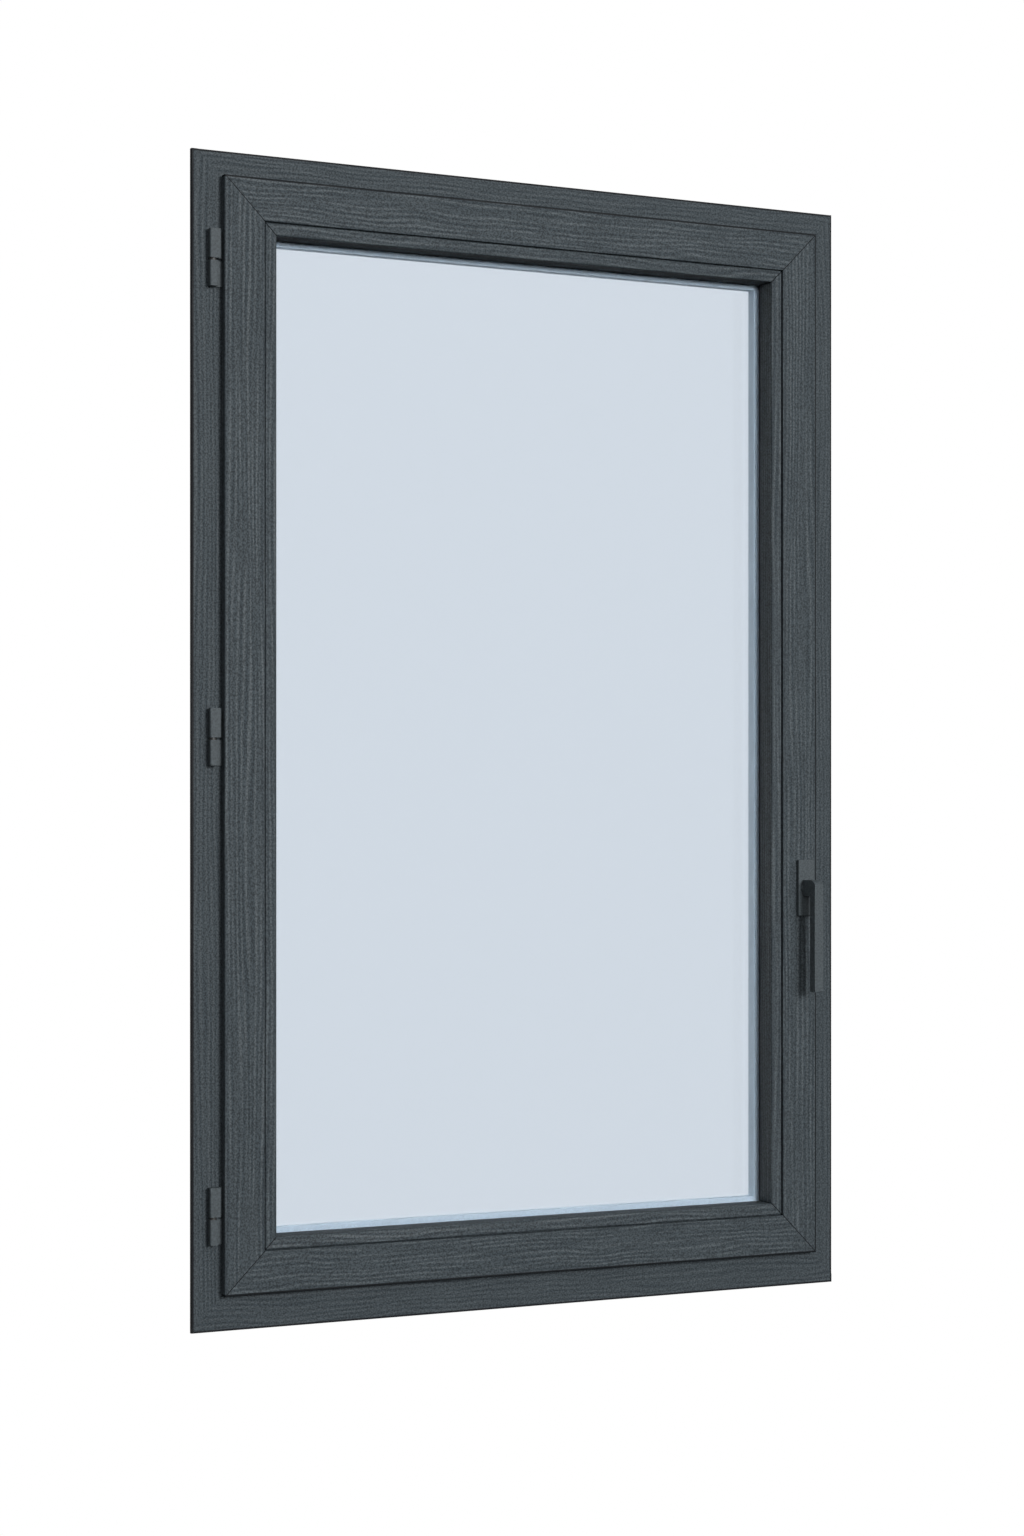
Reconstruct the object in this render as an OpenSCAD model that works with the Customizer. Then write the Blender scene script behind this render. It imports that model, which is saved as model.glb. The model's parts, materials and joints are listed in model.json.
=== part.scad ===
// Side-hung casement window: a slim outer frame with a flange that laps the wall, one glazed sash
// on three butt hinges, and a lever handle that drives a multi-point lock in the lock stile.
// Millimetres. X across the window, Y through it (room side is -Y), Z up.
// Origin: middle of the flange's bottom edge, on the plane of the flange's back face.

/* [Overall size] */
// width over the flange
frame_w = 800; // [600:10:1100]
// height over the flange
frame_h = 1250; // [900:10:1600]
// depth of the frame behind its room face
frame_depth = 70; // [60:1:90]

/* [Flange] */
// thickness of the flange
flange_t = 5; // [3:0.5:8]
// flange seen beside the sash on the hinge side
flange_left = 33; // [27:0.1:60]
// flange seen beside the sash on the lock side
flange_right = 28.3; // [20:0.1:60]
// flange seen above the sash
flange_top = 26.5; // [20:0.1:60]
// flange seen below the sash
flange_bottom = 37.8; // [20:0.1:60]

/* [Sash] */
// how far the sash face stands in front of the frame face
sash_proud = 11.5; // [8:0.1:18]
// width of the sash profile's room face
sash_face = 45.6; // [44:0.1:48]
// width of the lip that laps the frame
lip_w = 9.5; // [8:0.1:12]
// rounding of the sash profile's long front edges
edge_r = 1.6; // [0.5:0.1:3]
// hairline left between two welded sash profiles, measured square to each
weld_line = 0.12; // [0:0.01:0.3]

/* [Glazing] */
// thickness of one pane
pane_t = 4; // [3:0.5:6]
// gap between the panes
cavity = 12; // [10:1:20]
// from the sash edge to the edge of the glass
glass_edge = 51; // [48:0.5:55]
// from the sash edge to the inner edge of the spacer
spacer_edge = 65.5; // [61:0.5:68]

/* [Hinges] */
// height of the lowest hinge joint above the flange's bottom edge
hinge_low = 121; // [80:1:250]
// height from one hinge joint to the next
hinge_pitch = 506.3; // [300:0.1:700]
// height of a sash knuckle
sash_knuckle_h = 31; // [20:1:60]
// height of a frame knuckle
frame_knuckle_h = 27; // [20:1:60]
// clear height between the two knuckles
knuckle_gap = 2.6; // [1:0.1:4]
// radius of a hinge pin
pin_r = 2.5; // [2:0.1:4]
// radial running clearance of a hinge pin
pin_fit = 0.05; // [0.02:0.01:0.1]

/* [Handle] */
// height of the handle's spindle above the flange's bottom edge
spindle_z = 462.7; // [300:0.1:700]
// from the sash edge to the spindle
spindle_v = 16.4; // [15:0.1:20]
// rosette width and height
rosette = [22, 64.6]; // [18:0.1:80]
// height of the rosette off the sash
rosette_t = 5; // [3:0.1:12]
// width of the lever
lever_w = 11.6; // [8:0.1:20]
// thickness of the lever
lever_t = 10.4; // [6:0.1:16]
// length of the lever below the spindle
lever_len = 120.2; // [90:0.1:150]
// height of the neck, which is as wide as the lever
neck_h = 17.8; // [12:0.1:22]
// front of the lever, measured from the frame face
lever_front = 42.8; // [35:0.1:60]
// fall of the lever's bend from its back to its front
bend_drop = 5; // [2:0.5:8]

/* [Lock] */
// pitch radius of the pinion
pinion_r = 8; // [6:1:10]
// teeth a full pinion of this radius would have
pinion_teeth = 16; // [12:1:20]
// heights of the roller cams when locked
cam_z = [136, 625, 1114]; // [100:1:1150]
// radius of a cam roller
roller_r = 4; // [3:0.5:6]
// heights of the faceplate's screws
faceplate_screw_z = [100, 300, 560, 760, 960, 1152]; // [90:1:1160]

/* [Hidden] */
xl = -frame_w / 2 + flange_left;     // sash edge, hinge side
xr = frame_w / 2 - flange_right;     // sash edge, lock side
zb = flange_bottom;                  // sash edge, bottom
zt = frame_h - flange_top;           // sash edge, top
body_out = 7;                        // frame body reaches this far outside the sash edge
rebate_v = 5.5;                      // frame rebate face, inside the sash edge
stop_v = 20;                         // edge of the outer stop
stop_y = 57.5;                       // room side of the outer stop
sash_back = 54.5;                    // outer face of the sash
upstand_v = 58.5;                    // edge of the outer glazing upstand, at the glass
upstand_back_v = 50.5;               // its edge at the sash's outer face: it slopes to shed water
glass_y = 18.3;                      // room face of the inner pane
outer_pane_y = glass_y + pane_t + cavity;
glass_back = outer_pane_y + pane_t;
gasket_y = glass_back + 3.2;         // room side of the outer glazing upstand
bead_y = glass_y - 3;                // back of the bead
hinge_x = xl - 11.3;                 // hinge axis
hinge_y = -5.2;
hinge_z = [for (i = [0:2]) hinge_low + i * hinge_pitch];
leaf_t = 2.2;
plate_v = 8.1;                       // front of the lock's faceplate
rail_v = 10.8;                       // front of the drive rails
gear_m = 2 * pinion_r / pinion_teeth;
travel = pinion_r * PI / 2;          // drive travel for a quarter turn of the handle
rack_v = spindle_v + pinion_r;       // pitch line of the rack
bend_r = (lever_t * lever_t + bend_drop * bend_drop) / (2 * bend_drop);
bolt_dz = 21.5;                      // handle bolts, above and below the spindle
fixing_mid = 625.4;                  // middle of the jamb fixings
fixing_dz = [-450, -150, 150, 450];
fixing_r = 3.3;
$fn = 48;
far = 200;                           // beyond the window's depth, either way
eps = 0.01;                          // hair's breadth between a hinge leaf and the frame

// material colours
foil = [0.30, 0.32, 0.335];
zinc = [0.30, 0.32, 0.335];
steel = [0.72, 0.73, 0.74];
seal = [0.08, 0.08, 0.085];
pane = [0.82, 0.86, 0.90, 0.4];

// ---- placing helpers: sections are drawn as (v, y), v inwards from the sash edge ----

// moves what is measured from the frame's room face to the origin's plane
module on_face() translate([0, -flange_t, 0]) children();

module box2(x0, y0, x1, y1) translate([x0, y0]) square([x1 - x0, y1 - y0]);

module box3(a, b) translate(a) cube(b - a);

// takes the corner at (x, y) down to a radius; sx and sy point into the solid
module round_off(x, y, r, sx, sy)
    difference() {
        translate([min(x - sx, x + sx * r), min(y - sy, y + sy * r)]) square(r + 1);
        translate([x + sx * r, y + sy * r]) circle(r);
    }

module hinge_side() translate([xl, 0, 0]) children();
module lock_side() translate([xr, 0, 0]) mirror([1, 0, 0]) children();

module upright_l(z0, z1) hinge_side() translate([0, 0, z0]) linear_extrude(z1 - z0) children();
module upright_r(z0, z1) lock_side() translate([0, 0, z0]) linear_extrude(z1 - z0) children();
module cross_t(x0, x1)
    translate([x0, 0, zt]) rotate([0, 90, 0]) linear_extrude(x1 - x0) children();
module cross_b(x0, x1)
    translate([x0, 0, zb]) mirror([0, 0, 1]) rotate([0, 90, 0]) linear_extrude(x1 - x0) children();

// wedge of space that one mitred member may fill; o and i are its outer and inner v
module wedge(pts) translate([0, far, 0]) rotate([90, 0, 0]) linear_extrude(2 * far) polygon(pts);
module wedge_l(o, i, g)
    wedge([[xl + o, zb + o + g], [xl + i, zb + i + g], [xl + i, zt - i - g], [xl + o, zt - o - g]]);
module wedge_r(o, i, g)
    wedge([[xr - o, zb + o + g], [xr - i, zb + i + g], [xr - i, zt - i - g], [xr - o, zt - o - g]]);
module wedge_t(o, i, g)
    wedge([[xl + o + g, zt - o], [xl + i + g, zt - i], [xr - i - g, zt - i], [xr - o - g, zt - o]]);
module wedge_b(o, i, g)
    wedge([[xl + o + g, zb + o], [xl + i + g, zb + i], [xr - i - g, zb + i], [xr - o - g, zb + o]]);

// a rectangular ring with its outer edge at vo and inner edge at vi, from y0 to y1
module ring(vo, vi, y0, y1)
    difference() {
        box3([xl + vo, y0, zb + vo], [xr - vo, y1, zt - vo]);
        box3([xl + vi, y0 - 1, zb + vi], [xr - vi, y1 + 1, zt - vi]);
    }

// countersunk screw pointing along +Z, head flush at z = 0
module screw(r, head_r, len)
    difference() {
        rotate_extrude() polygon([[0, 0], [head_r, 0], [r, head_r - r], [r, len], [0, len]]);
        for (a = [0, 90]) rotate(a)
            translate([-head_r * 0.55, -0.35, -1]) cube([head_r * 1.1, 0.7, 1.9]);
    }
// countersunk hole for it, a hair wider all round
module screw_hole(r, head_r, len)
    rotate_extrude() polygon([[0, -0.1], [head_r + 0.15, -0.1], [r + 0.05, head_r - r], [r + 0.05, len + 0.3],
                              [0, len + 0.3]]);

// ---- outer frame ----

module frame_section(wing)
    difference() {
        union() {
            box2(-wing, 0, 0, flange_t);
            box2(-body_out, 0, rebate_v, frame_depth);
            box2(0, stop_y, stop_v, frame_depth);
        }
        round_off(-wing, 0, 0.8, 1, 1);
        round_off(stop_v, frame_depth, 1.5, -1, -1);
        box2(-4.4, 3, 2.9, 9.4);
        box2(-4.4, 12, 2.9, 51.9);
        box2(-4.4, 54.5, 2.9, 67.4);
        box2(rebate_v, 60.1, stop_v - 2.6, 67.4);
    }

module frame_limits() box3([-frame_w / 2, -far, 0], [frame_w / 2, far, frame_h]);

// through holes that carry the jamb fixings, drilled along +v
module fixing_holes()
    for (dz = fixing_dz)
        translate([-60, 32, fixing_mid + dz]) rotate([0, 90, 0]) cylinder(h = 80, r = fixing_r);

module hinge_jamb() color(foil) on_face()
    difference() {
        intersection() {
            upright_l(0, frame_h) frame_section(flange_left);
            wedge_l(-60, stop_v, 0);
            frame_limits();
        }
        hinge_side() fixing_holes();
        frame_leaf_screw_places() screw_hole(1.9, 3.6, 12);
    }

module lock_jamb() color(foil) on_face()
    difference() {
        intersection() {
            upright_r(0, frame_h) frame_section(flange_right);
            wedge_r(-60, stop_v, 0);
            frame_limits();
        }
        lock_side() {
            fixing_holes();
            for (z = cam_z) box3([0, -1, z - 7], [rebate_v + 1, 27.7, z + travel + 7]);
        }
        striker_screw_places() screw_hole(1.6, 3, 10);
    }

module frame_head() color(foil) on_face()
    intersection() {
        cross_t(-frame_w / 2, frame_w / 2) frame_section(flange_top);
        wedge_t(-60, stop_v, 0);
        frame_limits();
    }

module frame_sill() color(foil) on_face()
    difference() {
        intersection() {
            cross_b(-frame_w / 2, frame_w / 2) frame_section(flange_bottom);
            wedge_b(-60, stop_v, 0);
            frame_limits();
        }
        for (x = [-140, 140]) box3([x - 12, 54.8, zb + 2], [x + 12, 57.2, zb + rebate_v + 1]);
        for (x = [-200, 200]) box3([x - 15, 66, zb - 2.4], [x + 15, frame_depth + 1, zb + 1.6]);
    }

module drain_caps() color(foil) on_face()
    for (x = [-200, 200])
        difference() {
            box3([x - 22, frame_depth, zb - 5], [x + 22, frame_depth + 4, zb + 5]);
            box3([x - 20.5, frame_depth - 1, zb - 6], [x + 20.5, frame_depth + 2.6, zb + 3.5]);
        }

module frame_steel_section() box2(-4.2, 13, -0.8, 51);

module frame_jamb_steels() color(steel) on_face() {
    difference() {
        upright_l(zb + 20, zt - 20) frame_steel_section();
        hinge_side() fixing_holes();
        frame_leaf_screw_places() screw_hole(1.9, 3.6, 12);
    }
    difference() {
        upright_r(zb + 20, zt - 20) frame_steel_section();
        lock_side() fixing_holes();
        striker_screw_places() screw_hole(1.6, 3, 10);
    }
}

module frame_rail_steels() color(steel) on_face() {
    cross_t(xl + 20, xr - 20) frame_steel_section();
    cross_b(xl + 20, xr - 20) frame_steel_section();
}

module frame_seal() color(seal) on_face() ring(11, 17, sash_back + 0.35, stop_y);

// ---- sash ----

module sash_section()
    difference() {
        union() {
            box2(0, -sash_proud, sash_face, -3);
            box2(lip_w, -sash_proud, sash_face, sash_back);
            polygon([[sash_face - 1, gasket_y], [upstand_v, gasket_y], [upstand_back_v, sash_back],
                     [sash_face - 1, sash_back]]);
        }
        round_off(0, -sash_proud, edge_r, 1, 1);
        round_off(sash_face, -sash_proud, 0.8, -1, 1);
        box2(2.6, -8.9, 31.4, -5.6);
        box2(16.6, -3, 31.4, 11.2);
        box2(16.6, 14, 31.4, 28);
        box2(12.1, 30.8, 31.4, 51.9);
        box2(34, -6, 42.2, 44);
        polygon([[34, 46.6], [52.6, 46.6], [49.3, 51.9], [34, 51.9]]);
        box2(lip_w - 1, 12.8, 10.3, 29.2);
        box2(lip_w - 1, 15.5, 13.7, 26.5);
    }

// long pocket for the gearbox and the holes of the handle, in the lock stile
module gearbox_pocket()
    lock_side() {
        box3([lip_w - 1, 12.9, spindle_z - 52.1], [32.7, 29.1, spindle_z + 54.7]);
        translate([spindle_v, 14, spindle_z]) rotate([90, 0, 0]) cylinder(h = 40, r = 6.5);
        for (s = [-1, 1]) translate([spindle_v, 14, spindle_z + s * bolt_dz])
            rotate([90, 0, 0]) cylinder(h = 40, r = 2.6);
    }

module hinge_stile() color(foil) on_face()
    difference() {
        intersection() {
            upright_l(zb, zt) sash_section();
            wedge_l(0, upstand_v, weld_line);
        }
        sash_leaf_screw_places() screw_hole(1.9, 3.6, 26);
    }

module lock_stile() color(foil) on_face()
    difference() {
        intersection() {
            upright_r(zb, zt) sash_section();
            wedge_r(0, upstand_v, weld_line);
        }
        gearbox_pocket();
        faceplate_screw_places() screw_hole(1.4, 2.6, 12);
    }

module sash_top_rail() color(foil) on_face()
    intersection() {
        cross_t(xl, xr) sash_section();
        wedge_t(0, upstand_v, weld_line);
    }

module sash_bottom_rail() color(foil) on_face()
    intersection() {
        cross_b(xl, xr) sash_section();
        wedge_b(0, upstand_v, weld_line);
    }

module sash_steel_section()
    difference() {
        box2(34.3, -5.6, 41.8, 43.6);
        box2(35.8, -4.1, 40.3, 42.1);
    }

module sash_stile_steels() color(steel) on_face() {
    upright_l(zb + 50, zt - 50) sash_steel_section();
    upright_r(zb + 50, zt - 50) sash_steel_section();
}

module sash_rail_steels() color(steel) on_face() {
    cross_t(xl + 50, xr - 50) sash_steel_section();
    cross_b(xl + 50, xr - 50) sash_steel_section();
}

// seal on the back of the sash lip, left out where the hinge leaves pass
module sash_seal() color(seal) on_face()
    difference() {
        ring(1.2, 4.2, -3, -0.35);
        for (z = hinge_z)
            box3([xl - 1, -4, z - knuckle_gap / 2 - frame_knuckle_h - 1],
                 [xl + 6, 1, z + knuckle_gap / 2 + sash_knuckle_h + 1]);
    }

// ---- glazing ----

module bead_section()
    difference() {
        v = sash_face + 1.2;
        polygon([[sash_face + 0.1, -7], [v, -7], [v, -9.2], [v + 0.8, -10.1], [59, -9.6],
                 [59.9, -8.8], [60.2, bead_y], [sash_face + 0.1, bead_y]]);
        polygon([[v + 1.6, -8.3], [58.3, -7.8], [58.6, bead_y - 1.6], [v, bead_y - 1.6],
                 [v, -2.9], [v + 1.6, -2.9]]);
    }

module bead_hinge_side() color(foil) on_face()
    intersection() {
        upright_l(zb, zt) bead_section();
        wedge_l(44, 61, 0.1);
    }
module bead_lock_side() color(foil) on_face()
    intersection() {
        upright_r(zb, zt) bead_section();
        wedge_r(44, 61, 0.1);
    }
module bead_top() color(foil) on_face()
    intersection() {
        cross_t(xl, xr) bead_section();
        wedge_t(44, 61, 0.1);
    }
module bead_bottom() color(foil) on_face()
    intersection() {
        cross_b(xl, xr) bead_section();
        wedge_b(44, 61, 0.1);
    }

module glass_box(y0) box3([xl + glass_edge, y0, zb + glass_edge],
                          [xr - glass_edge, y0 + pane_t, zt - glass_edge]);
module inner_pane() color(pane) on_face() glass_box(glass_y);
module outer_pane() color(pane) on_face() glass_box(outer_pane_y);

module spacer_bar() color([0.52, 0.58, 0.63]) on_face()
    difference() {
        ring(56.5, spacer_edge, glass_y + pane_t, outer_pane_y);
        ring(57, spacer_edge - 0.5, glass_y + pane_t + 0.8, outer_pane_y - 0.8);
    }
module edge_sealant() color(seal) on_face() ring(glass_edge, 56.5, glass_y + pane_t, outer_pane_y);
module bead_gasket() color(seal) on_face() ring(54.6, 60, bead_y, glass_y);
module outer_glazing_gasket() color(seal) on_face() ring(53, 58.3, glass_back, gasket_y);

// packers between the sash and the edge of the glass
module glazing_blocks() color([0.55, 0.16, 0.14]) on_face() {
    a = sash_face + 0.1;
    b = glass_edge - 0.1;
    for (x = [xl + 130, xr - 230])
        box3([x, glass_y, zb + a], [x + 100, glass_back, zb + b]);
    box3([xl + 130, glass_y, zt - b], [xl + 230, glass_back, zt - a]);
    box3([xl + a, glass_y, zb + 110], [xl + b, glass_back, zb + 210]);
    for (z = [zb + 110, zt - 210])
        box3([xr - b, glass_y, z], [xr - a, glass_back, z + 100]);
}

// ---- hinges ----

// knuckle outline about the hinge axis: rounded behind so that it clears the frame as it turns
module knuckle_outline(right, back)
    difference() {
        box2(-4.4, -4.3, right, back);
        round_off(-4.4, -4.3, 1.5, 1, 1);
        round_off(right, -4.3, 0.6, -1, 1);
        round_off(-4.4, back, 4.3, 1, -1);
    }

module at_hinge(i) translate([hinge_x, hinge_y, hinge_z[i]]) children();

// sash half: knuckle, a strap under the sash lip, and a leaf on the stile's rebate face
module sash_leaf(i) color(zinc) on_face()
    difference() {
        at_hinge(i) translate([0, 0, knuckle_gap / 2]) linear_extrude(sash_knuckle_h) {
            knuckle_outline(7.6, 4.4);
            box2(0, 2.3, 11.3 + lip_w, 4.5);
            box2(11.3 + lip_w - leaf_t, 2.3, 11.3 + lip_w, 34);
        }
        at_hinge(i) cylinder(h = sash_knuckle_h - 1.5, r = pin_r + pin_fit);
        sash_leaf_screw_places() screw_hole(1.9, 3.6, 26);
    }

// frame half: knuckle, a strap on the frame face, and a leaf on the frame's rebate face
module frame_leaf(i) color(zinc) on_face()
    difference() {
        at_hinge(i) translate([0, 0, -knuckle_gap / 2 - frame_knuckle_h])
            linear_extrude(frame_knuckle_h) {
                knuckle_outline(4.4, 5.2 - eps);
                box2(0, 5.2 - leaf_t, 11.3 + rebate_v + leaf_t, 5.2 - eps);
                box2(11.3 + rebate_v + eps, 5.2 - leaf_t, 11.3 + rebate_v + leaf_t, 34);
            }
        at_hinge(i) translate([0, 0, -26]) cylinder(h = 30, r = pin_r);
        frame_leaf_screw_places() screw_hole(1.9, 3.6, 12);
    }

module hinge_pins() color(steel) on_face()
    for (i = [0:2]) at_hinge(i) translate([0, 0, -26]) cylinder(h = 54.5, r = pin_r);

module hinge_washers() color([0.75, 0.62, 0.35]) on_face()
    for (i = [0:2]) at_hinge(i) translate([0, 0, -knuckle_gap / 2]) difference() {
        cylinder(h = knuckle_gap - 0.3, r = 3.9);
        translate([0, 0, -1]) cylinder(h = 6, r = pin_r);
    }

// two staggered screws in every leaf; screws point into their profile
module sash_leaf_screw_places()
    for (z = hinge_z, s = [0, 1])
        translate([xl + lip_w - leaf_t, 10 + s * 12, z + knuckle_gap / 2 + 9 + s * 13])
            rotate([0, 90, 0]) children();
module frame_leaf_screw_places()
    for (z = hinge_z, s = [0, 1])
        translate([xl + rebate_v + leaf_t, 18 + s * 6, z - knuckle_gap / 2 - 7 - s * 13])
            rotate([0, -90, 0]) children();

module sash_leaf_screws() color(steel) on_face() sash_leaf_screw_places() screw(1.9, 3.6, 26);
module frame_leaf_screws() color(steel) on_face() frame_leaf_screw_places() screw(1.9, 3.6, 12);

// ---- handle: drawn about the spindle axis, local z up ----

module at_spindle() translate([xr - spindle_v, 0, spindle_z]) children();

// cylinder along +Y
module peg(y0, y1, r) translate([0, y1, 0]) rotate([90, 0, 0]) cylinder(h = y1 - y0, r = r);

module rosette_base() color(steel) on_face() at_spindle()
    difference() {
        box3([-9.6, -sash_proud - 3.4, -31], [9.6, -sash_proud, 31]);
        peg(-20, 0, 7.65);
        for (s = [-1, 1]) translate([0, -sash_proud - 3.4, s * bolt_dz])
            rotate([-90, 0, 0]) screw_hole(2.5, 4.6, 44);
    }

module rosette_cap() color(zinc) on_face() at_spindle()
    difference() {
        box3([-rosette[0] / 2, -sash_proud - rosette_t, -rosette[1] / 2],
             [rosette[0] / 2, -sash_proud, rosette[1] / 2]);
        box3([-9.8, -sash_proud - 3.6, -31.2], [9.8, 0, 31.2]);
        peg(-20, 0, 8);
    }

module handle_bolts() color(steel) on_face() at_spindle()
    for (s = [-1, 1]) translate([0, -sash_proud - 3.4, s * bolt_dz])
        rotate([-90, 0, 0]) screw(2.5, 4.6, 43.6);

// side view of the lever with its bend, drawn as (y, z)
module lever_outline()
    difference() {
        union() {
            box2(-lever_front, -lever_len, -lever_front + lever_t, neck_h / 2);
            box2(-lever_front, -neck_h / 2, -17, neck_h / 2);
        }
        // the bend's outer corner is one long arc, which meets the front in a soft edge
        difference() {
            box2(-lever_front - 1, neck_h / 2 - bend_drop - 0.2, -lever_front + lever_t, neck_h);
            translate([-lever_front + lever_t, neck_h / 2 - bend_r]) circle(bend_r, $fn = 96);
        }
        round_off(-lever_front, -lever_len, 1.2, 1, 1);
        round_off(-lever_front + lever_t, -lever_len, 1.2, -1, 1);
    }

module handle_lever() color(zinc) on_face() at_spindle()
    difference() {
        union() {
            translate([-lever_w / 2, 0, 0]) rotate([90, 0, 90])
                linear_extrude(lever_w) lever_outline();
            peg(-17, -12.2, 7.6);
        }
        box3([-3.55, -31, -3.55], [3.55, 0, 3.55]);
        translate([0, -24, -20]) cylinder(h = 18, r = 2);
    }

module spindle() color(steel) on_face() at_spindle()
    box3([-3.5, -30.8, -3.5], [3.5, 28.6, 3.5]);

module grub_screw() color(steel) on_face() at_spindle()
    difference() {
        translate([0, -24, -8.7]) cylinder(h = 5.15, r = 1.95);
        translate([0, -24, -9]) cylinder(h = 2.5, r = 1.1, $fn = 6);
    }

// ---- lock: drawn as (v, y, z) on the lock side ----

// involute flank, as the angle from the tooth's middle at radius r
function inv(a) = tan(a) - a * PI / 180;
function half_angle(r, play) =
    let (rb = pinion_r * cos(20))
    90 / pinion_teeth + (inv(20) - (r > rb ? inv(acos(rb / r)) : 0)) * 180 / PI
    - play / pinion_r * 180 / PI;

// a quarter of a pinion: teeth only where they meet the rack
module pinion() color(steel) on_face() lock_side() translate([spindle_v, 0, spindle_z]) {
    radii = [5.2, 7.0, 7.4, 7.8, 8.2, 8.6, pinion_r + 0.85 * gear_m];
    difference() {
        union() {
            peg(13.2, 28.8, 5.5);
            peg(15.7, 26.3, 5.8);
            translate([0, 26.3, 0]) rotate([90, 0, 0]) linear_extrude(10.6) {
                for (k = [-5:1]) rotate(k * 360 / pinion_teeth) polygon(concat(
                    [for (r = radii) r * [cos(half_angle(r, 0.06)), -sin(half_angle(r, 0.06))]],
                    [for (i = [len(radii) - 1:-1:0]) let (r = radii[i])
                        r * [cos(half_angle(r, 0.06)), sin(half_angle(r, 0.06))]]));
                intersection() {
                    circle(6.8);
                    polygon([[0, 0], [20, 9.3], [20, -30], [-10, -30]]);
                }
            }
        }
        box3([-3.55, 0, -3.55], [3.55, 40, 3.55]);
    }
}

// frame-shaped slide round the pinion, with the rack on its far side
module rack_carriage() color(steel) on_face() lock_side() translate([0, 0, spindle_z])
    difference() {
        union() {
            translate([0, 25.8, 0]) rotate([90, 0, 0]) linear_extrude(9.6) {
                box2(rack_v + 1.2, -45.2, rack_v + 5, 32.3);
                for (k = [-8:2]) translate([rack_v, (k + 0.5) * PI * gear_m])
                    polygon([[1.3, 1.2], [-0.8, 0.43], [-0.8, -0.43], [1.3, -1.2]]);
            }
            box3([rail_v + 2.2, 16.2, 26.3], [rack_v + 5, 25.8, 32.3]);
            box3([rail_v + 2.2, 16.2, -45.2], [rack_v + 5, 25.8, -39.2]);
        }
        for (z = [29.3, -42.2]) across(z) cylinder(h = 17, r = 1.5);
    }

// strip with a hole for its rivet and for each cam, and a slot round each faceplate screw
module drive_rail(z0, z1, rivet_z) difference() {
    box3([rail_v, 16, z0], [rail_v + 2.2, 26, z1]);
    across(rivet_z) cylinder(h = 20, r = 1.5);
    for (z = cam_z) across(z) cylinder(h = 20, r = 2);
    for (z = faceplate_screw_z) slot(z - travel, z, 1.9);
}
module upper_drive_rail() color(steel) on_face() lock_side()
    drive_rail(spindle_z + 26.3, cam_z[2] + 14, spindle_z + 29.3);
module lower_drive_rail() color(steel) on_face() lock_side()
    drive_rail(cam_z[0] - 14, spindle_z - 39.2, spindle_z - 42.2);
module rail_rivets() color(steel) on_face() lock_side()
    for (z = [29.3, -42.2]) translate([rail_v, 0, 0]) across(spindle_z + z)
        cylinder(h = 6, r = 1.5);

module roller_cams() color(steel) on_face() lock_side()
    for (z = cam_z) across(z) {
        translate([0, 0, 2.4]) cylinder(h = 5.3, r = roller_r);
        translate([0, 0, 7]) cylinder(h = 3.8, r = 2.5);
        translate([0, 0, 9]) cylinder(h = 4, r = 2);
    }

module gearbox_case() color(steel) on_face() lock_side() translate([0, 0, spindle_z])
    difference() {
        union() {
            box3([10.4, 26.6, -51.7], [32.4, 28.8, 54.3]);
            box3([30.4, 15.4, -51.7], [32.4, 26.6, 54.3]);
            for (z = [-51.7, 52.3]) box3([13.8, 15.4, z], [30.4, 26.6, z + 2]);
            for (s = [-1, 1]) translate([spindle_v, 0, s * bolt_dz]) peg(15.4, 26.6, 4);
        }
        translate([spindle_v, 0, 0]) peg(20, 30, 5.55);
        for (s = [-1, 1]) translate([spindle_v, 0, s * bolt_dz]) peg(10, 40, 2.55);
    }
module gearbox_cover() color(steel) on_face() lock_side() translate([0, 0, spindle_z])
    difference() {
        box3([10.4, 13.2, -51.7], [32.4, 15.4, 54.3]);
        translate([spindle_v, 0, 0]) peg(10, 20, 5.55);
        for (s = [-1, 1]) translate([spindle_v, 0, s * bolt_dz]) peg(10, 40, 2.55);
    }

// places what is drawn along +Z so that it runs across the stile, on the lock's middle line
module across(z) translate([0, 21, z]) rotate([0, 90, 0]) children();

// punched window that lets a round of radius r slide from z0 to z1
module slot(z0, z1, r) box3([0, 21 - r, z0 - r], [20, 21 + r, z1 + r]);

module faceplate_screw_places()
    lock_side() for (z = faceplate_screw_z) translate([plate_v, 0, 0]) across(z) children();

module faceplate() color(steel) on_face()
    difference() {
        lock_side() difference() {
            box3([plate_v, 13, 88], [10.3, 29, 1164]);
            for (z = cam_z) slot(z, z + travel, 2.9);
        }
        faceplate_screw_places() screw_hole(1.4, 2.6, 12);
    }
module faceplate_screws() color(steel) on_face() faceplate_screw_places() screw(1.4, 2.6, 12);

// keepers: a tray let into the frame, open to the room so that the cam swings out past it
module strikers() color(steel) on_face()
    difference() {
        lock_side() for (z = cam_z) translate([0, 0, z]) difference() {
            union() {
                box3([0.2, 6, -6.8], [6.7, 27.5, travel + 6.8]);
                box3([5.51, 12, -25], [6.7, 27.5, travel + 25]);
            }
            box3([1.2, 0, -5.6], [8, 26.3, travel + 5.6]);
        }
        striker_screw_places() screw_hole(1.6, 3, 10);
    }
module striker_screw_places()
    lock_side() for (z = cam_z, e = [-16, travel + 16])
        translate([6.7, 20, z + e]) rotate([0, -90, 0]) children();
module striker_screws() color(steel) on_face() striker_screw_places() screw(1.6, 3, 10);

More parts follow.
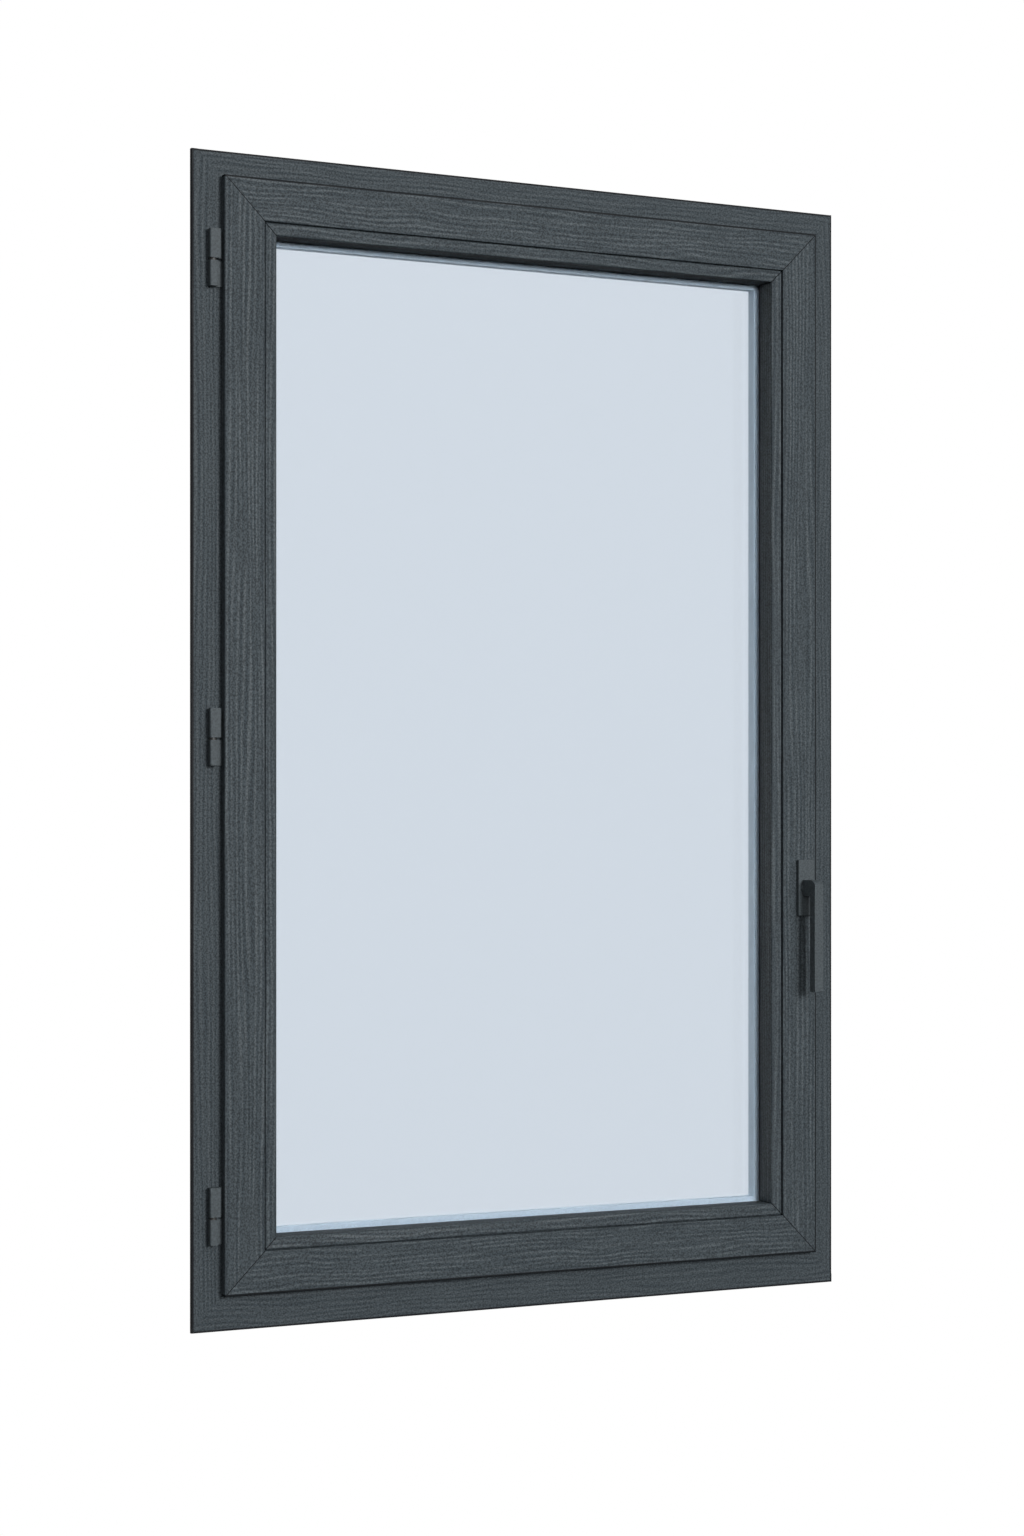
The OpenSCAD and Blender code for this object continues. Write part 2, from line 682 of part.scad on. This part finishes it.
hinge_jamb();
lock_jamb();
frame_head();
frame_sill();
drain_caps();
frame_jamb_steels();
frame_rail_steels();
frame_seal();
hinge_stile();
lock_stile();
sash_top_rail();
sash_bottom_rail();
sash_stile_steels();
sash_rail_steels();
sash_seal();
bead_hinge_side();
bead_lock_side();
bead_top();
bead_bottom();
inner_pane();
outer_pane();
spacer_bar();
edge_sealant();
bead_gasket();
outer_glazing_gasket();
glazing_blocks();
sash_leaf(0);  // bottom_hinge_sash_leaf
sash_leaf(1);  // middle_hinge_sash_leaf
sash_leaf(2);  // top_hinge_sash_leaf
frame_leaf(0);  // bottom_hinge_frame_leaf
frame_leaf(1);  // middle_hinge_frame_leaf
frame_leaf(2);  // top_hinge_frame_leaf
hinge_pins();
hinge_washers();
sash_leaf_screws();
frame_leaf_screws();
rosette_base();
rosette_cap();
handle_bolts();
handle_lever();
spindle();
grub_screw();
pinion();
rack_carriage();
upper_drive_rail();
lower_drive_rail();
rail_rivets();
roller_cams();
gearbox_case();
gearbox_cover();
faceplate();
faceplate_screws();
strikers();
striker_screws();
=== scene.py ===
"""Studio picture of the side-hung casement window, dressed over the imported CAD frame."""

import json
import math

import bpy
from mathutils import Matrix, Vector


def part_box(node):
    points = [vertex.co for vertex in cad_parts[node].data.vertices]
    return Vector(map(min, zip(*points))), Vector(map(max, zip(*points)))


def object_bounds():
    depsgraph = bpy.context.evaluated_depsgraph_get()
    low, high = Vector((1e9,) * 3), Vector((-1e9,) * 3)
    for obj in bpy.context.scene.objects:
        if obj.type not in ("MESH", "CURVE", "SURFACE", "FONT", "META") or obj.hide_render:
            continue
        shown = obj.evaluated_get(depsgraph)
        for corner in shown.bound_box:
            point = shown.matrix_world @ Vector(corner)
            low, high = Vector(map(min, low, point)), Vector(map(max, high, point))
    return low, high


# ---- named values (metres, radians, watts, linear colour) ----

CAMERA_PLACE = (-1.5806, -3.0503, 0.5447)
CAMERA_TURN = (math.pi / 2, 0.0, -0.47337)
CAMERA_LENS = 72.25
CAMERA_SHIFT_Y = 0.0319
SENSOR_WIDTH = 36.0

FLOOR_Z = -0.9
FLOOR_SIZE = 60.0
WHITE = (1, 1, 1, 1)
BLACK = (0, 0, 0, 1)

# each lamp's place, diameter and power; all of them face the target
LAMP_TARGET = (0.0, 0.0, 0.6)
KEY_LAMP = ((1.45, -8.3, 2.3), 2.6, 580.0)
FILL_LAMP = ((-2.6, -7.2, 2.8), 2.4, 80.0)
OUTSIDE_LAMP = ((-3.4, 5.6, 0.3), 1.5, 38.0)
# the surroundings as a source of light: the way to their brightest part, and their grey from the
# opposite side (0) to that part (1)
SKY_DIRECTION = (0.22, -0.50, 0.72)
SKY_GREYS = [(0.0, 0.22), (0.28, 0.13), (0.45, 0.10), (1.0, 0.65)]

FRAME_UPRIGHTS = ("hinge_jamb", "lock_jamb")
FRAME_CROSSPIECES = ("frame_head", "frame_sill")
SASH_STILES = ("hinge_stile", "lock_stile")
SASH_RAILS = ("sash_top_rail", "sash_bottom_rail")
SIDE_BEADS = ("bead_hinge_side", "bead_lock_side")
CROSS_BEADS = ("bead_top", "bead_bottom")
HANDLE_PIECES = ("handle_lever", "rosette_cap")
PANES = ("inner_pane", "outer_pane")

FOIL_DARK = (0.029, 0.038, 0.0445)
FOIL_MID = (0.0375, 0.048, 0.055)
FOIL_FAINT = (0.045, 0.0565, 0.064)
FOIL_LIGHT = (0.056, 0.069, 0.077)
# colour of the dark mitre joints, and of the painted shade lines along the rims of frame and sash
FOIL_SEAM_AND_EDGE_SHADE = (0.004, 0.006, 0.008)
FOIL_SHINE = 0.2
SEAM_HALF_WIDTH = 0.0005
# width of the painted shade line along the rims
EDGE_SHADE_WIDTH = 0.0022
RIPPLE_PITCH = 0.0054
RIPPLE_HEIGHT = 0.20
WANDER = 16.0               # radians of phase
THREAD_HEIGHT = 0.30
SPECKLE_HEIGHT = 0.4
# by the axis that the streaks run along: their sway, the direction that counts ripples across them,
# and how many cells of each noise a metre of their length holds
STREAKS = {
    "Z": {"sway": 0.0015, "across": (1.0, 1.3, 0.0), "threads": 8.0, "wander": 4.0, "swell": 7.0},
    "X": {"sway": 0.004, "across": (0.0, 1.3, 1.0), "threads": 16.0, "wander": 9.0, "swell": 22.0},
}

PAINT = (0.050, 0.062, 0.069)
BRIGHT_ZINC = (0.55, 0.56, 0.58)
SEAL_BLACK = (0.012, 0.012, 0.013)
SEALANT_BLACK = (0.012, 0.012, 0.012)
BUSH_BLACK = (0.02, 0.02, 0.02)
SPACER_GREY = (0.50, 0.59, 0.66)
PACKER_RED = (0.35, 0.05, 0.04)
GLASS_TINT = (0.83, 0.872, 0.918)
GLASS_IOR = 1.5

# how far the edges of the pieces in sight are rounded
SASH_EDGE = 0.0003
BEAD_EDGE = 0.0004
LEAF_EDGE = 0.0004
HANDLE_EDGE = 0.0007
SAME_POINT = 1e-6
SHARP_ANGLE = math.radians(35)


def node_tree(name):
    """A new material with only its shader and output; returns the material, its nodes and its links."""
    mat = bpy.data.materials.new(name)
    mat.use_nodes = True
    nodes, links = mat.node_tree.nodes, mat.node_tree.links
    nodes.clear()
    out = nodes.new("ShaderNodeOutputMaterial")
    shader = nodes.new("ShaderNodeBsdfPrincipled")
    links.new(shader.outputs["BSDF"], out.inputs["Surface"])
    return mat, nodes, links, shader


def put(nodes, kind, **values):
    """Adds a node and sets its properties, or its input sockets by name with a leading in_."""
    n = nodes.new(kind)
    for key, value in values.items():
        if key.startswith("in_"):
            n.inputs[key[3:].replace("_", " ")].default_value = value
        else:
            setattr(n, key, value)
    return n


def ramp(nodes, stops):
    """A colour ramp from (place, colour or grey) stops."""
    n = nodes.new("ShaderNodeValToRGB")
    while len(n.color_ramp.elements) < len(stops):
        n.color_ramp.elements.new(0.5)
    for e, (place, colour) in zip(n.color_ramp.elements, stops):
        e.position = place
        e.color = (*colour, 1) if isinstance(colour, tuple) else (colour, colour, colour, 1)
    return n


def math_node(nodes, links, operation, first, second=None):
    """A Math node on sockets or plain numbers; returns its output."""
    n = put(nodes, "ShaderNodeMath", operation=operation)
    for socket, value in zip(n.inputs, (first, second)):
        if isinstance(value, (int, float)):
            socket.default_value = value
        elif value is not None:
            links.new(value, socket)
    return n.outputs[0]


def stretched_noise(nodes, links, where, along, across, lengthwise, detail):
    """Noise drawn out along one axis; across and lengthwise are its cells per metre."""
    stretch = [across] * 3
    stretch["XYZ".index(along)] = lengthwise
    m = put(nodes, "ShaderNodeVectorMath", operation="MULTIPLY")
    m.inputs[1].default_value = stretch
    n = put(nodes, "ShaderNodeTexNoise", in_Scale=1.0, in_Detail=detail, in_Roughness=0.55)
    links.new(where, m.inputs[0])
    links.new(m.outputs[0], n.inputs["Vector"])
    return n.outputs["Fac"]


def seam_and_edge_shade_mask(nodes, links, where, low, high, on_sash):
    """1 on the dark mitre joints and the painted edge-shade lines of the rectangle from low to high, 0
    elsewhere.

    The frame has a line of painted edge shade along its whole rim. The sash has a dark joint at each
    mitre and a line of painted edge shade along its rim, except on the hinge side.
    """
    split = put(nodes, "ShaderNodeSeparateXYZ")
    links.new(where, split.inputs[0])
    inset = []
    for axis, (a, b) in zip("XZ", ((low.x, high.x), (low.z, high.z))):
        off = math_node(nodes, links, "SUBTRACT", split.outputs[axis], (a + b) / 2)
        reach = math_node(nodes, links, "ABSOLUTE", off)
        inset.append(math_node(nodes, links, "SUBTRACT", (b - a) / 2, reach))
    if not on_sash:
        nearest = math_node(nodes, links, "MINIMUM", *inset)
        # painted shade: a dark line along the frame's whole rim
        return math_node(nodes, links, "LESS_THAN", nearest, EDGE_SHADE_WIDTH)
    lock_side = math_node(nodes, links, "SUBTRACT", high.x, split.outputs["X"])
    nearest = math_node(nodes, links, "MINIMUM", lock_side, inset[1])
    # painted shade: a dark line along the sash's rim, on every side but the hinge side
    edge_shade = math_node(nodes, links, "LESS_THAN", nearest, EDGE_SHADE_WIDTH)
    across = math_node(nodes, links, "ABSOLUTE", math_node(nodes, links, "SUBTRACT", *inset))
    mitre = math_node(nodes, links, "LESS_THAN", across, SEAM_HALF_WIDTH * math.sqrt(2))
    return math_node(nodes, links, "MAXIMUM", mitre, edge_shade)


def swayed(nodes, links, place, reach):
    """The place pushed to and fro by up to about half of reach, so that straight streaks waver."""
    sway = put(nodes, "ShaderNodeTexNoise", in_Scale=14.0, in_Detail=1.0)
    centred = put(nodes, "ShaderNodeVectorMath", operation="SUBTRACT")
    centred.inputs[1].default_value = (0.5, 0.5, 0.5)
    scaled = put(nodes, "ShaderNodeVectorMath", operation="SCALE", in_Scale=reach)
    moved = put(nodes, "ShaderNodeVectorMath", operation="ADD")
    links.new(place, sway.inputs["Vector"])
    links.new(sway.outputs["Color"], centred.inputs[0])
    links.new(centred.outputs[0], scaled.inputs[0])
    links.new(place, moved.inputs[0])
    links.new(scaled.outputs[0], moved.inputs[1])
    return moved.outputs[0]


def ripples(nodes, links, where, along):
    """Evenly spaced ripples that wander a little, and swell and fade along their length."""
    streak = STREAKS[along]
    across = put(nodes, "ShaderNodeVectorMath", operation="DOT_PRODUCT")
    across.inputs[1].default_value = streak["across"]
    links.new(where, across.inputs[0])
    turns = math_node(nodes, links, "MULTIPLY", across.outputs["Value"], 2 * math.pi / RIPPLE_PITCH)
    wander = stretched_noise(nodes, links, where, along, 40.0, streak["wander"], 0.0)
    phase = math_node(nodes, links, "ADD", turns, math_node(nodes, links, "MULTIPLY", wander, WANDER))
    ripple = math_node(nodes, links, "SINE", phase)
    swell = stretched_noise(nodes, links, where, along, 150.0, streak["swell"], 0.0)
    height = math_node(nodes, links, "MULTIPLY", swell, RIPPLE_HEIGHT)
    return math_node(nodes, links, "MULTIPLY", ripple, height)


def wood_grain(nodes, links, where, along):
    """Ripples with fine threads between them, around a level of a half."""
    waves = ripples(nodes, links, where, along)
    threads = stretched_noise(nodes, links, where, along, 380.0, STREAKS[along]["threads"], 0.0)
    threads = math_node(nodes, links, "SUBTRACT", threads, 0.5)
    fine = math_node(nodes, links, "MULTIPLY", threads, THREAD_HEIGHT)
    return math_node(nodes, links, "ADD", math_node(nodes, links, "ADD", waves, fine), 0.5)


def foil(name, along, low, high, on_sash):
    """Dark grey foil embossed like wood: wavy light streaks along one axis over a fine speckle.

    low and high bound the rectangle whose dark mitre joints and painted edge-shade lines it shows. The
    streaks are lighter on the sash.
    """
    mat, nodes, links, shader = node_tree(name)
    place = put(nodes, "ShaderNodeTexCoord").outputs["Object"]
    where = swayed(nodes, links, place, STREAKS[along]["sway"])
    wood = wood_grain(nodes, links, where, along)
    speckle = stretched_noise(nodes, links, place, along, 620.0, 470.0, 1.0)

    light = FOIL_LIGHT if on_sash else FOIL_FAINT
    streaks = ramp(nodes, [(0.38, FOIL_DARK), (0.47, FOIL_MID), (0.54, FOIL_MID), (0.62, light)])
    links.new(wood, streaks.inputs["Fac"])
    dots = ramp(nodes, [(0.36, 0.62), (0.5, 1.0), (0.64, 1.38)])
    links.new(speckle, dots.inputs["Fac"])
    colour = put(nodes, "ShaderNodeVectorMath", operation="MULTIPLY")
    links.new(streaks.outputs["Color"], colour.inputs[0])
    links.new(dots.outputs["Color"], colour.inputs[1])
    # darkens the foil at the mitre joints, and with painted edge shade along the rims
    seamed_and_edge_shaded = put(nodes, "ShaderNodeMix", data_type="RGBA")
    links.new(seam_and_edge_shade_mask(nodes, links, place, low, high, on_sash), seamed_and_edge_shaded.inputs["Factor"])
    links.new(colour.outputs[0], seamed_and_edge_shaded.inputs[6])
    seamed_and_edge_shaded.inputs[7].default_value = (*FOIL_SEAM_AND_EDGE_SHADE, 1)
    links.new(seamed_and_edge_shaded.outputs[2], shader.inputs["Base Color"])

    pits = math_node(nodes, links, "MULTIPLY", speckle, SPECKLE_HEIGHT)
    grain = math_node(nodes, links, "ADD", pits, wood)
    gloss = ramp(nodes, [(0.55, 0.72), (0.85, 0.56)])
    links.new(grain, gloss.inputs["Fac"])
    links.new(gloss.outputs["Color"], shader.inputs["Roughness"])
    bump = put(nodes, "ShaderNodeBump", in_Strength=0.5, in_Distance=0.0004)
    links.new(grain, bump.inputs["Height"])
    links.new(bump.outputs["Normal"], shader.inputs["Normal"])
    shader.inputs["Specular IOR Level"].default_value = FOIL_SHINE
    return mat


def speckled(name, base, roughness, metallic=0.0, grain=900.0, spread=0.12, shine=0.5):
    """Painted or moulded surface with a fine speckle in its colour and its height."""
    mat, nodes, links, shader = node_tree(name)
    place = put(nodes, "ShaderNodeTexCoord")
    noise = put(nodes, "ShaderNodeTexNoise", in_Scale=grain, in_Detail=2.0)
    links.new(place.outputs["Object"], noise.inputs["Vector"])
    low = tuple(c * (1 - spread) for c in base)
    high = tuple(c * (1 + spread) for c in base)
    colour = ramp(nodes, [(0.3, low), (0.7, high)])
    links.new(noise.outputs["Fac"], colour.inputs["Fac"])
    links.new(colour.outputs["Color"], shader.inputs["Base Color"])
    bump = put(nodes, "ShaderNodeBump", in_Strength=0.3, in_Distance=0.00008)
    links.new(noise.outputs["Fac"], bump.inputs["Height"])
    links.new(bump.outputs["Normal"], shader.inputs["Normal"])
    shader.inputs["Roughness"].default_value = roughness
    shader.inputs["Metallic"].default_value = metallic
    shader.inputs["Specular IOR Level"].default_value = shine
    return mat


def glass(name, tint):
    """Clear pane with a pale tint."""
    mat, _, _, shader = node_tree(name)
    shader.inputs["Base Color"].default_value = (*tint, 1)
    shader.inputs["Roughness"].default_value = 0.0
    shader.inputs["IOR"].default_value = GLASS_IOR
    shader.inputs["Transmission Weight"].default_value = 1.0
    return mat


def foils():
    """Each foiled node's material, with the streaks running along the profile."""
    frame_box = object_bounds()
    sash_box = (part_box("hinge_stile")[0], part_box("lock_stile")[1])
    made = {
        FRAME_UPRIGHTS: foil("foil_frame_upright", "Z", *frame_box, on_sash=False),
        FRAME_CROSSPIECES: foil("foil_frame_crosswise", "X", *frame_box, on_sash=False),
        SASH_STILES + SIDE_BEADS: foil("foil_sash_upright", "Z", *sash_box, on_sash=True),
        SASH_RAILS + CROSS_BEADS: foil("foil_sash_crosswise", "X", *sash_box, on_sash=True),
    }
    return {name: mat for names, mat in made.items() for name in names}


def slot_materials():
    """The material of each slot in the record, for the nodes that have no foil."""
    return {
        "painted_zinc": speckled("painted_zinc", PAINT, 0.58, grain=520.0, spread=0.28, shine=0.25),
        "zinc_plated_steel": speckled("zinc_plated_steel", BRIGHT_ZINC, 0.32, 1.0, 300.0),
        "black_seal": speckled("black_seal", SEAL_BLACK, 0.7),
        "grey_plastic": speckled("grey_plastic", PAINT, 0.6),
        "clear_glass": glass("clear_glass", GLASS_TINT),
        "spacer_aluminium": speckled("spacer_aluminium", SPACER_GREY, 0.5),
        "edge_sealant": speckled("edge_sealant", SEALANT_BLACK, 0.8),
        "packer_plastic": speckled("packer_plastic", PACKER_RED, 0.4),
        "bush_plastic": speckled("bush_plastic", BUSH_BLACK, 0.5),
    }


def paint_all(frame):
    """Gives every CAD node its procedural material: foil, or else by its slot in the record."""
    slots = {s["node"]: s["material_slot"] for s in frame["record"]["subparts"]}
    foil_of = foils()
    by_slot = slot_materials()
    for name, obj in frame["nodes"].items():
        mat = foil_of.get(name) or by_slot[slots[name]]
        obj.data.materials.clear()
        obj.data.materials.append(mat)


def soften(frame, names, width):
    """Joins a node's split faces and rounds its sharp edges a little."""
    for name in names:
        obj = frame["nodes"][name]
        weld = obj.modifiers.new("weld", "WELD")
        weld.merge_threshold = SAME_POINT
        bevel = obj.modifiers.new("bevel", "BEVEL")
        bevel.width = width
        bevel.segments = 2
        bevel.limit_method = "ANGLE"
        bevel.angle_limit = SHARP_ANGLE


def soften_visible_edges(frame):
    leaves = [name for name in frame["nodes"] if name.endswith("_leaf")]
    soften(frame, SASH_STILES + SASH_RAILS, SASH_EDGE)
    soften(frame, SIDE_BEADS + CROSS_BEADS, BEAD_EDGE)
    soften(frame, HANDLE_PIECES, HANDLE_EDGE)
    soften(frame, leaves, LEAF_EDGE)


def lamp(name, place, diameter, power):
    """A round area light that faces the window and isn't seen through the panes."""
    data = bpy.data.lights.new(name, "AREA")
    data.shape = "DISK"
    data.size = diameter
    data.energy = power
    obj = bpy.data.objects.new(name, data)
    bpy.context.scene.collection.objects.link(obj)
    obj.location = place
    away = Vector(place) - Vector(LAMP_TARGET)
    obj.rotation_euler = away.to_track_quat("Z", "Y").to_euler()
    obj.visible_transmission = False
    return obj


def lamps():
    """A strong lamp in front of the sash, a weak one on its hinge side, and daylight outside."""
    lamp("key", *KEY_LAMP)
    fill = lamp("fill", *FILL_LAMP)
    # the panes would mirror it as a bright disc
    fill.visible_glossy = False
    # daylight that reaches the lock side's reveal through the panes
    outside = lamp("outside", *OUTSIDE_LAMP)
    outside.visible_camera = False


def sky_light(nodes, links):
    """A dim background that is brightest high up on the room's side; lights the window all round."""
    sky = put(nodes, "ShaderNodeBackground", in_Strength=1.0)
    place = put(nodes, "ShaderNodeTexCoord")
    side = put(nodes, "ShaderNodeVectorMath", operation="DOT_PRODUCT")
    side.inputs[1].default_value = SKY_DIRECTION
    links.new(place.outputs["Generated"], side.inputs[0])
    # the ramp runs from 0 to 1, and the dot product from -1 to 1
    half = put(nodes, "ShaderNodeMath", operation="MULTIPLY_ADD")
    half.inputs[1].default_value = 0.5
    half.inputs[2].default_value = 0.5
    links.new(side.outputs["Value"], half.inputs[0])
    shade = ramp(nodes, SKY_GREYS)
    links.new(half.outputs[0], shade.inputs["Fac"])
    links.new(shade.outputs["Color"], sky.inputs["Color"])
    return sky.outputs[0]


def surroundings():
    """Plain white where it is seen directly or through the glass, and dim as a source of light."""
    world = bpy.data.worlds.new("studio")
    bpy.context.scene.world = world
    world.use_nodes = True
    nodes, links = world.node_tree.nodes, world.node_tree.links
    nodes.clear()
    out = nodes.new("ShaderNodeOutputWorld")
    plain = put(nodes, "ShaderNodeBackground", in_Color=WHITE, in_Strength=1.0)
    path = put(nodes, "ShaderNodeLightPath")
    bounced = put(nodes, "ShaderNodeMath", operation="ADD", use_clamp=True)
    links.new(path.outputs["Diffuse Depth"], bounced.inputs[0])
    links.new(path.outputs["Glossy Depth"], bounced.inputs[1])
    choose = put(nodes, "ShaderNodeMixShader")
    links.new(bounced.outputs[0], choose.inputs["Fac"])
    links.new(plain.outputs[0], choose.inputs[1])
    links.new(sky_light(nodes, links), choose.inputs[2])
    links.new(choose.outputs[0], out.inputs["Surface"])


def floor():
    """A plain white floor that glows, so that it looks as even as the surroundings.

    It neither lights the window nor shows up in the panes.
    """
    mat, _, _, shader = node_tree("floor")
    shader.inputs["Base Color"].default_value = BLACK
    shader.inputs["Specular IOR Level"].default_value = 0.0
    shader.inputs["Roughness"].default_value = 1.0
    shader.inputs["Emission Color"].default_value = WHITE
    shader.inputs["Emission Strength"].default_value = 1.0
    bpy.ops.mesh.primitive_plane_add(size=FLOOR_SIZE, location=(0, 0, FLOOR_Z))
    obj = bpy.context.object
    obj.name = "floor"
    obj.data.materials.append(mat)
    obj.visible_diffuse = False
    obj.visible_glossy = False
    obj.visible_transmission = False


def camera():
    """Level, on the hinge side of the window, and shifted a little for framing."""
    data = bpy.data.cameras.new("camera")
    data.lens = CAMERA_LENS
    data.sensor_width = SENSOR_WIDTH
    data.shift_y = CAMERA_SHIFT_Y
    obj = bpy.data.objects.new("camera", data)
    bpy.context.scene.collection.objects.link(obj)
    obj.location = CAMERA_PLACE
    obj.rotation_euler = CAMERA_TURN
    bpy.context.scene.camera = obj


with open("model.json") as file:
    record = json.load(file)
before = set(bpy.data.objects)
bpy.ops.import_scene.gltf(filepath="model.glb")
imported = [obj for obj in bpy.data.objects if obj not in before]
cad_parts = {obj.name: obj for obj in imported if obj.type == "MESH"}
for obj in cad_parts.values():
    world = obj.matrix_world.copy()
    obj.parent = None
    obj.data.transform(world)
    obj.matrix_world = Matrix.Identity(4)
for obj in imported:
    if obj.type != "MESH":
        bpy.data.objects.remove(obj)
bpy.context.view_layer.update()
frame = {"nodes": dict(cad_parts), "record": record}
paint_all(frame)
soften_visible_edges(frame)
for pane in PANES:
    frame["nodes"][pane].visible_shadow = False
surroundings()
lamps()
floor()
camera()
bpy.context.scene.view_settings.view_transform = "Standard"
